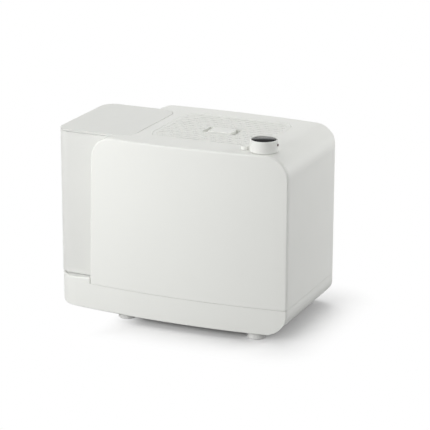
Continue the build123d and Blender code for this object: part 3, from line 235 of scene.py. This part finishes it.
def board(name, colour):
    """Circuit board: solder mask over raised tracks, with tinned pads."""
    mat, tree, bsdf = start(name)
    where = place(tree)
    tracks = put(tree, "ShaderNodeTexBrick", Vector=where, Scale=60.0, **{"Mortar Size": 0.06}).outputs["Fac"]
    pads = spread(tree, cells(tree, where, scale=210.0), 1.0, 0.0, 0.16, 0.2)
    tin = (0.62, 0.6, 0.55, 1.0)
    skin = blended(tree, pads, tint(tree, tracks, colour, 0.75, 1.5), tin)
    relief = bump(tree, tracks, depth=0.00005, strength=0.5)
    cover(tree, bsdf, skin, spread(tree, pads, 0.38, 0.22), relief)
    return mat


def glossy(name, colour, rough):
    """Polished plastic window with faint finger smears."""
    mat, tree, bsdf = start(name)
    where = place(tree)
    smear = noise(tree, place(tree, (1, 0.5, 1)), scale=130.0, detail=4.0, rough=0.6)
    skin = tint(tree, noise(tree, where, scale=40.0), colour, 0.8, 1.2)
    gloss = spread(tree, smear, rough, rough + 0.06, 0.4, 0.75)
    relief = bump(tree, noise(tree, where, scale=300.0), depth=0.000004, strength=0.3)
    cover(tree, bsdf, skin, gloss, relief, IOR=1.52)
    return mat


def felt(name, colour):
    """Wick: pressed fibre with a fine honeycomb emboss."""
    mat, tree, bsdf = start(name)
    where = place(tree)
    fibre = noise(tree, place(tree, (1, 1, 0.2)), scale=900.0, detail=4.0, rough=0.7)
    skin = tint(tree, noise(tree, where, scale=24.0, detail=4.0), colour, 0.9, 1.04)
    comb = bump(tree, cells(tree, where, 260.0, "DISTANCE_TO_EDGE"), depth=0.0006, strength=0.5)
    relief = bump(tree, fibre, depth=0.0002, strength=0.6, below=comb)
    cover(tree, bsdf, skin, spread(tree, fibre, 0.85, 1.0), relief, Specular_IOR_Level=0.2)
    return mat


def foam(name, colour):
    """Open-cell filter foam."""
    mat, tree, bsdf = start(name)
    pores = cells(tree, place(tree), scale=620.0)
    # painted shade: pore centres are painted darker and the cell rims lighter
    skin = tint(tree, pores, colour, 0.35, 1.5)
    relief = bump(tree, pores, depth=0.0008, strength=0.7)
    cover(tree, bsdf, skin, spread(tree, pores, 0.95, 0.8), relief, Specular_IOR_Level=0.15)
    return mat


FINISHES = {
    "white_shell": moulded("white_shell", (0.835, 0.842, 0.807), 0.42, vary=0.012),
    "tank_frost": frosted("tank_frost", (0.885, 0.892, 0.856)),
    # sides=0.84 paints the lid's faces that don't look up 16 % darker: painted shade
    "lid_grey": moulded("lid_grey", (0.785, 0.792, 0.76), 0.46, vary=0.015, sides=0.84),
    "inner_plastic": moulded("inner_plastic", (0.77, 0.775, 0.76), 0.38),
    "float_white": moulded("float_white", (0.85, 0.85, 0.85), 0.5),
    "foot_rubber": rubber("foot_rubber", (0.83, 0.83, 0.81), 0.7),
    "seal_rubber": rubber("seal_rubber", (0.4, 0.41, 0.42), 0.6),
    "steel": steel("steel", (0.62, 0.62, 0.63), 0.32),
    "motor_can": painted("motor_can", (0.1, 0.1, 0.105), 0.4),
    "board": board("board", (0.03, 0.17, 0.08)),
    "dark_plastic": moulded("dark_plastic", (0.025, 0.025, 0.027), 0.42, vary=0.15),
    "lens_black": glossy("lens_black", (0.012, 0.013, 0.014), 0.04),
    "mark_red": glossy("mark_red", (0.07, 0.008, 0.008), 0.2),
    "wick": felt("wick", (0.72, 0.74, 0.77)),
    "filter_foam": foam("filter_foam", (0.1, 0.105, 0.11)),
}


def dress(obj, slot):
    obj.data.materials.clear()
    obj.data.materials.append(FINISHES[slot])


for sub in frame["record"]["subparts"]:
    dress(frame["nodes"][sub["node"]], sub["material_slot"])


# Pieces that replace plain inner solids
def piece(name, verts, faces, slot):
    mesh = bpy.data.meshes.new(name)
    mesh.from_pydata(verts, [], faces)
    mesh.validate()
    mesh.polygons.foreach_set("use_smooth", [True] * len(mesh.polygons))
    made = bpy.data.objects.new(name, mesh)
    scene.collection.objects.link(made)
    dress(made, slot)
    return made


def closed_sheet(near, far, rows, columns):
    """Two grids of points, row by row, joined round their edges to one closed sheet."""
    count = rows * columns
    faces = []
    for r in range(rows - 1):
        for c in range(columns - 1):
            a = r * columns + c
            faces.append((a, a + 1, a + columns + 1, a + columns))
            faces.append((count + a, count + a + columns, count + a + columns + 1, count + a + 1))
    rim = list(range(columns))
    rim += [r * columns + columns - 1 for r in range(1, rows)]
    rim += [(rows - 1) * columns + c for c in range(columns - 2, -1, -1)]
    rim += [r * columns for r in range(rows - 2, 0, -1)]
    for i, a in enumerate(rim):
        b = rim[(i + 1) % len(rim)]
        faces.append((b, a, count + a, count + b))
    return near + far, faces


def wick_pleats():
    """Pleated wick with rounded folds that sway a little from row to row."""
    lo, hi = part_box("wick_filter")
    folds = 14
    per_fold = 10
    rows = 26
    columns = folds * per_fold + 1
    sheet_y = 0.006
    sharp = 0.985
    sway_most = 0.0004
    sway_across = 31
    sway_per_row = 0.9
    mid = (lo.y + hi.y) / 2
    reach = (hi.y - lo.y - sheet_y) / 2
    near = []
    far = []
    for r in range(rows):
        z = lo.z + (hi.z - lo.z) * r / (rows - 1)
        for c in range(columns):
            share = c / (columns - 1)
            wave = -asin(sharp * cos(pi * folds * share)) / asin(sharp)
            sway = sway_most * sin(sway_across * share + sway_per_row * r) * (1 - abs(wave))
            x = lo.x + (hi.x - lo.x) * share
            y = mid + wave * reach + sway
            near.append((x, y - sheet_y / 2, z))
            far.append((x, y + sheet_y / 2, z))
    made = piece("wick_pleats", *closed_sheet(near, far, rows, columns), "wick")
    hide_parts("wick_filter")
    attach(made, "base")


def filter_mat():
    """Foam mat behind the intake, bowed like the back, with rounded corners and thinner edges."""
    lo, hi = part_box("air_filter")
    bow_r = 1.25
    corner = 0.0124
    thick = 0.005
    pinch = 0.0012
    rows = 40
    columns = 60
    mid_x = (lo.x + hi.x) / 2
    half = (hi.x - lo.x) / 2
    near_end = min(abs(lo.x), abs(hi.x))
    crown = hi.y if lo.x < 0 < hi.x else hi.y + bow_r - sqrt(bow_r**2 - near_end**2)
    near = []
    far = []
    for r in range(rows):
        z = lo.z + (hi.z - lo.z) * r / (rows - 1)
        into = max(corner - min(z - lo.z, hi.z - z), 0.0)
        wide = half - corner + sqrt(max(corner**2 - into**2, 0.0))
        for c in range(columns):
            x = mid_x + wide * (2 * c / (columns - 1) - 1)
            back = crown - (bow_r - sqrt(bow_r**2 - x**2))
            edge = r in (0, rows - 1) or c in (0, columns - 1)
            inset = pinch if edge else 0.0
            near.append((x, back - thick + inset, z))
            far.append((x, back - inset, z))
    made = piece("filter_mat", *closed_sheet(near, far, rows, columns), "filter_foam")
    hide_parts("air_filter")
    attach(made, "housing")


def valve_coil():
    """Wire coil of the valve's return spring, held by the cage and pushed by the valve."""
    lo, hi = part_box("valve_spring")
    wire = 0.00048
    turns = 7
    steps = 28
    sides = 10
    flat_end = 0.08  # share of the wire that lies level at each end
    coil_r = (hi.x - lo.x) / 2 - wire
    centre = (lo + hi) / 2
    low = lo.z + wire
    high = hi.z - wire
    upright = Vector((0, 0, 1))
    verts = []
    faces = []
    count = turns * steps + 1
    for i in range(count):
        angle = 2 * pi * i / steps
        share = min(max((i / (count - 1) - flat_end) / (1 - 2 * flat_end), 0.0), 1.0)
        out = Vector((cos(angle), sin(angle), 0))
        middle = Vector((centre.x, centre.y, low + (high - low) * share)) + coil_r * out
        for k in range(sides):
            turn = 2 * pi * k / sides
            verts.append(middle + wire * (cos(turn) * out + sin(turn) * upright))
    for i in range(count - 1):
        for k in range(sides):
            a = i * sides + k
            b = i * sides + (k + 1) % sides
            faces.append((a, a + sides, b + sides, b))
    faces.append(tuple(range(sides)))
    faces.append(tuple(reversed(range((count - 1) * sides, count * sides))))
    made = piece("valve_coil", verts, faces, "steel")
    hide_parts("valve_spring")
    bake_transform(made)


wick_pleats()
filter_mat()
valve_coil()


# Floor and light
FLOOR_R = 9.0
FLOOR_POINTS = 96
FLOOR_SEEN = (1.0, 1.0, 1.0, 1.0)
FLOOR_BOUNCE = (0.28, 0.28, 0.28, 1.0)
FOOTPRINT_MID = (-0.006, 0.0, 0.0)
FOOTPRINT_HALF = (0.181, 0.108, 0.1)
FADE_FROM = 0.0  # distances from the footprint between which the shadow fades
FADE_TO = 0.088
WASH_FROM = -0.036  # places along X between which the floor turns plain white, painted light over the object's shadow under its left end
WASH_TO = -0.098
AMBIENT = 0.36
MIRROR_LOW = 1.5  # what reflections see of the surround low down and overhead
MIRROR_HIGH = 0.1
MIRROR_LOW_TO = radians(7)
MIRROR_HIGH_FROM = radians(16)


def floor():
    """Pale table that keeps the shadow near the object.

    It fades to plain white further out and to the left; to the left this white is painted light over the
    object's shadow.
    """
    corners = [2 * pi * i / FLOOR_POINTS for i in range(FLOOR_POINTS)]
    verts = [(0.0, 0.0, 0.0)] + [(FLOOR_R * cos(a), FLOOR_R * sin(a), 0.0) for a in corners]
    faces = [(0, i + 1, (i + 1) % FLOOR_POINTS + 1) for i in range(FLOOR_POINTS)]
    mesh = bpy.data.meshes.new("floor")
    mesh.from_pydata(verts, [], faces)
    made = bpy.data.objects.new("floor", mesh)
    scene.collection.objects.link(made)
    mat, tree, _ = start("floor")
    tree.nodes.clear()
    where = place(tree)
    aside = vector(tree, "ABSOLUTE", vector(tree, "SUBTRACT", where, FOOTPRINT_MID))
    aside = vector(tree, "MAXIMUM", vector(tree, "SUBTRACT", aside, FOOTPRINT_HALF))
    away = put(tree, "ShaderNodeVectorMath", {"operation": "LENGTH"}, i0=aside).outputs["Value"]
    # painted light: under the object's left end the floor shows plain white in place of the object's shadow
    wash = ease(tree, part_of(tree, where, "X"), WASH_FROM, WASH_TO)
    fade = maths(tree, "MAXIMUM", ease(tree, away, FADE_FROM, FADE_TO), wash)
    ray = put(tree, "ShaderNodeLightPath").outputs
    seen = maths(tree, "MAXIMUM", ray["Is Camera Ray"], ray["Is Glossy Ray"])
    seen = maths(tree, "MAXIMUM", seen, ray["Is Transmission Ray"])
    near = put(tree, "ShaderNodeBsdfDiffuse", Color=FLOOR_SEEN).outputs[0]
    plain = put(tree, "ShaderNodeEmission", Strength=1.0).outputs[0]
    shown = put(tree, "ShaderNodeMixShader", i0=fade, i1=near, i2=plain).outputs[0]
    bounce = put(tree, "ShaderNodeBsdfDiffuse", Color=FLOOR_BOUNCE).outputs[0]
    both = put(tree, "ShaderNodeMixShader", i0=seen, i1=bounce, i2=shown).outputs[0]
    put(tree, "ShaderNodeOutputMaterial", Surface=both)
    mesh.materials.append(mat)


def surroundings():
    """Even studio surround: white to the eye, bright low down and dimmer overhead in reflections."""
    world = bpy.data.worlds.new("surroundings")
    scene.world = world
    world.use_nodes = True
    tree = world.node_tree
    sky = tree.nodes["Background"]
    sky.inputs["Color"].default_value = (1.0, 1.0, 1.0, 1.0)
    ray = put(tree, "ShaderNodeLightPath").outputs
    height = part_of(tree, put(tree, "ShaderNodeTexCoord").outputs["Generated"], "Z")
    mirrored = spread(tree, height, MIRROR_LOW, MIRROR_HIGH, sin(MIRROR_LOW_TO), sin(MIRROR_HIGH_FROM))
    clear = maths(tree, "MAXIMUM", ray["Is Glossy Ray"], ray["Is Transmission Ray"])
    soft = put(tree, "ShaderNodeMix", i0=clear, i2=AMBIENT, i3=mirrored).outputs[0]
    whole = put(tree, "ShaderNodeMix", i0=ray["Is Camera Ray"], i2=soft, i3=1.0).outputs[0]
    tree.links.new(whole, sky.inputs["Strength"])


def lamp(name, at, to, size, power, mirrored=True):
    """Round soft lamp; one that isn't mirrored doesn't show in reflections."""
    light = bpy.data.lights.new(name, "AREA")
    light.shape = "DISK"
    light.size = size
    light.energy = power
    made = bpy.data.objects.new(name, light)
    made.location = at
    made.rotation_euler = (Vector(to) - Vector(at)).to_track_quat("-Z", "Y").to_euler()
    made.visible_glossy = mirrored
    scene.collection.objects.link(made)


floor()
surroundings()
lamp("key", at=(-0.66, -0.76, 0.42), to=(-0.08, -0.08, 0.17), size=0.5, power=2.75)
lamp("front", at=(-0.25, -1.5, 0.6), to=(0.0, 0.0, 0.15), size=1.0, power=10.3)
lamp("above", at=(-0.15, 0.1, 1.3), to=(0.0, 0.0, 0.1), size=1.0, power=2.6)
lamp("behind", at=(-0.3, 0.8, 1.1), to=(0.0, 0.0, 0.2), size=1.0, power=3.7, mirrored=False)
lamp("right", at=(1.2, 0.7, 0.7), to=(0.1, 0.0, 0.2), size=0.9, power=8.5)


# Camera
AZIMUTH = radians(24.4)
ELEVATION = radians(17.2)
DISTANCE = 3.0661
FOCAL_PX = 2000.0
IMAGE_PX = 430.0
SENSOR_MM = 36.0
CLIP_END = 50.0
TARGET = Vector((0.0015, 0.0, 0.154))
TARGET_PX = (196.3, 211.0)


def camera():
    """Looks past the target, so that the target falls a little left of and above the picture's middle."""
    right = Vector((cos(AZIMUTH), sin(AZIMUTH), 0))
    back = Vector((sin(AZIMUTH) * cos(ELEVATION), -cos(AZIMUTH) * cos(ELEVATION), sin(ELEVATION)))
    at = TARGET + DISTANCE * back
    aside = atan((IMAGE_PX / 2 - TARGET_PX[0]) / FOCAL_PX)
    lower = atan((IMAGE_PX / 2 - TARGET_PX[1]) / FOCAL_PX)
    up = back.cross(right)
    turned = back * cos(aside) - right * sin(aside)
    right = right * cos(aside) + back * sin(aside)
    back = turned * cos(lower) + up * sin(lower)
    up = up * cos(lower) - turned * sin(lower)
    data = bpy.data.cameras.new("camera")
    data.sensor_width = SENSOR_MM
    data.lens = FOCAL_PX * SENSOR_MM / IMAGE_PX
    data.clip_end = CLIP_END
    made = bpy.data.objects.new("camera", data)
    turn = Matrix((right, up, back)).transposed()
    made.matrix_world = Matrix.Translation(at) @ turn.to_4x4()
    scene.collection.objects.link(made)
    scene.camera = made


camera()
scene.view_settings.view_transform = "Standard"
